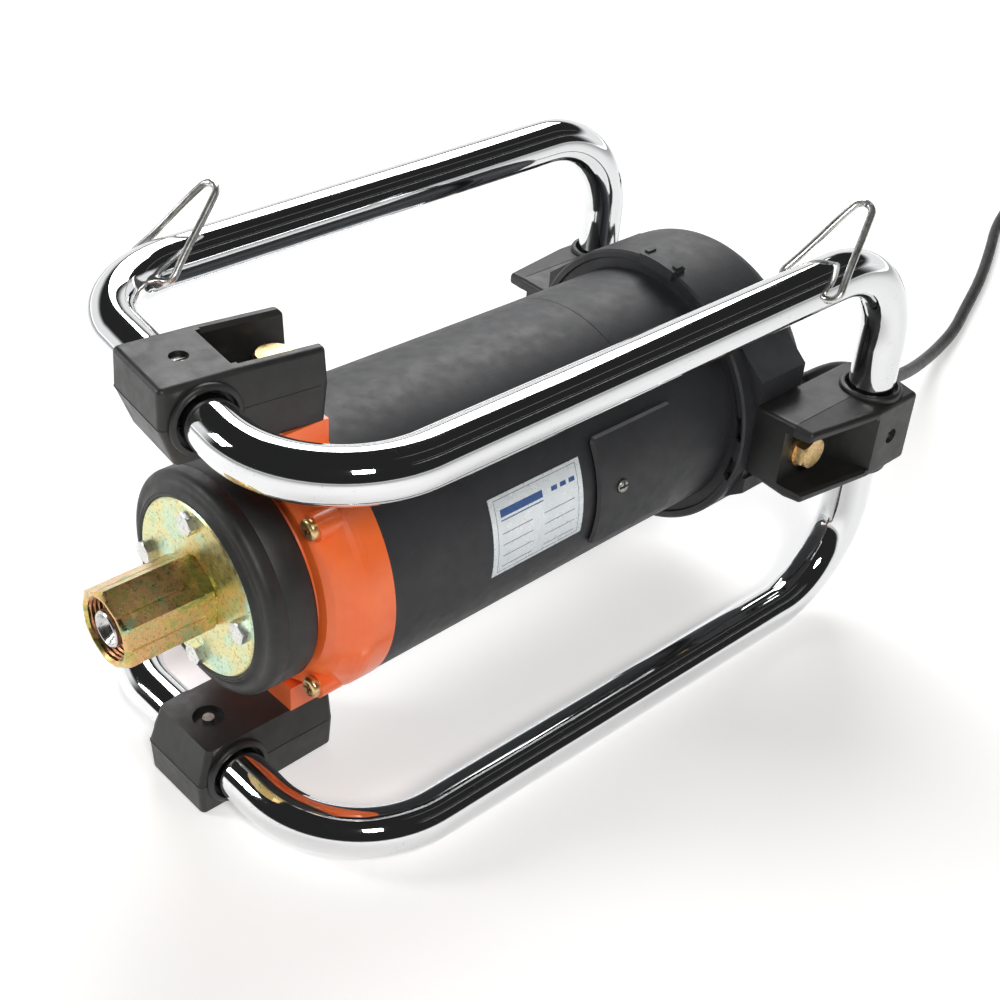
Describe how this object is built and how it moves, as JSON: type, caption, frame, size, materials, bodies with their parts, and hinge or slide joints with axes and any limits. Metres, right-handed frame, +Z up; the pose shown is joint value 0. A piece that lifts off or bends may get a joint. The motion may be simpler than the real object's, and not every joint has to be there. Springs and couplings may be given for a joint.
{
  "type": "concrete vibrator drive unit",
  "caption": "Cylindrical electric drive unit for a poker vibrator, hung in a chromed tube cage, with a hex hose coupling and a cord.",
  "frame": {"origin": "on the ground under the middle of the machine without its cord", "axes": "+Z up, +Y from the hose coupling to the rear cap along the motor axis, +X to the right seen from the coupling end"},
  "size_m": [0.2885, 1.1742, 0.2609],
  "materials": {
    "yellow_zinc": "machined steel with iridescent yellow zinc plating",
    "white_zinc": "bright zinc plating",
    "steel": "ground steel",
    "lamination_steel": "stacked electrical sheet",
    "copper": "enamelled copper wire",
    "commutator_copper": "turned copper",
    "pin_brass": "plated brass",
    "orange_enamel": "cast aluminium under gloss orange enamel",
    "chrome_tube": "polished chrome plate on steel tube",
    "block_rubber": "moulded black rubber",
    "ring_rubber": "moulded black rubber",
    "housing_plastic": "fine-grained black plastic",
    "inner_plastic": "glass-filled plastic",
    "fan_plastic": "natural plastic",
    "carbon": "pressed carbon",
    "label_foil": "printed foil",
    "switch_plastic": "gloss black plastic",
    "capacitor_can": "drawn aluminium can",
    "cord_rubber": "black rubber sheath",
    "tie_plastic": "black strap"
  },
  "bodies": {
    "base": {"coupling_hex": "yellow_zinc", "flange_plate": "yellow_zinc", "shield_screws": "yellow_zinc", "block_bolts": "yellow_zinc", "block_washers": "yellow_zinc", "flange_bolts": "white_zinc", "front_bearing_outer": "steel", "rear_bearing_outer": "steel", "cap_screws": "steel", "brush_cover_screws": "steel", "tube_lock_screws": "steel", "brush_spring_right": "steel", "brush_spring_left": "steel", "handle_joint_sleeves": "steel", "stator_core": "lamination_steel", "field_coil_top": "copper", "field_coil_bottom": "copper", "plug_pins": "pin_brass", "front_shield": "orange_enamel", "handle_top": "chrome_tube", "handle_bottom": "chrome_tube", "block_front_top": "block_rubber", "block_front_bottom": "block_rubber", "block_rear_right": "block_rubber", "block_rear_left": "block_rubber", "isolator_ring": "ring_rubber", "front_housing": "housing_plastic", "rear_housing": "housing_plastic", "rear_cap": "housing_plastic", "cap_latch": "housing_plastic", "brush_cover_right": "housing_plastic", "brush_cover_left": "housing_plastic", "brush_holder_right": "inner_plastic", "brush_holder_left": "inner_plastic", "bearing_bracket": "inner_plastic", "gland_nut": "inner_plastic", "label_plate": "label_foil", "switch_body": "switch_plastic", "capacitor": "capacitor_can", "strain_relief": "cord_rubber", "cord_lead": "cord_rubber", "cord_coil": "cord_rubber", "cord_tail": "cord_rubber", "plug_body": "cord_rubber", "cord_tie": "tie_plastic"},
    "rotor": {"rotor_shaft": "steel", "drive_socket": "steel", "armature_core": "lamination_steel", "armature_winding_front": "copper", "armature_winding_rear": "copper", "commutator": "commutator_copper", "cooling_fan": "fan_plastic", "front_bearing_inner": "steel", "rear_bearing_inner": "steel"},
    "front_left_bail": {"bail_front_left": "white_zinc"},
    "rear_right_bail": {"bail_rear_right": "white_zinc"},
    "rocker": {"switch_rocker": "switch_plastic"},
    "right_brush": {"carbon_brush_right": "carbon"},
    "left_brush": {"carbon_brush_left": "carbon"}
  },
  "joints": [
    {"name": "rotor_spin", "type": "hinge", "parent": "base", "child": "rotor", "pos_m": [0, 0, 0.1185], "axis": [0, 1, 0], "continuous": true},
    {"name": "front_left_bail_swing", "type": "hinge", "parent": "base", "child": "front_left_bail", "pos_m": [-0.10891, -0.1195, 0.21876], "axis": [1, 0, 0], "range_deg": [-14, 92]},
    {"name": "rear_right_bail_swing", "type": "hinge", "parent": "base", "child": "rear_right_bail", "pos_m": [0.10244, 0.1195, 0.22391], "axis": [1, 0, 0], "range_deg": [-18, 112]},
    {"name": "rocker_tilt", "type": "hinge", "parent": "base", "child": "rocker", "pos_m": [0, 0.1795, 0.1485], "axis": [1, 0, 0], "range_deg": [-16, 0]},
    {"name": "right_brush_slide", "type": "slide", "parent": "base", "child": "right_brush", "axis": [1, 0, 0], "range_m": [0, 0.005], "stiffness_N_per_m": 150, "springref_m": -0.01, "deforming": ["brush_spring_right"]},
    {"name": "left_brush_slide", "type": "slide", "parent": "base", "child": "left_brush", "axis": [-1, 0, 0], "range_m": [0, 0.005], "stiffness_N_per_m": 150, "springref_m": -0.01, "deforming": ["brush_spring_left"]}
  ]
}
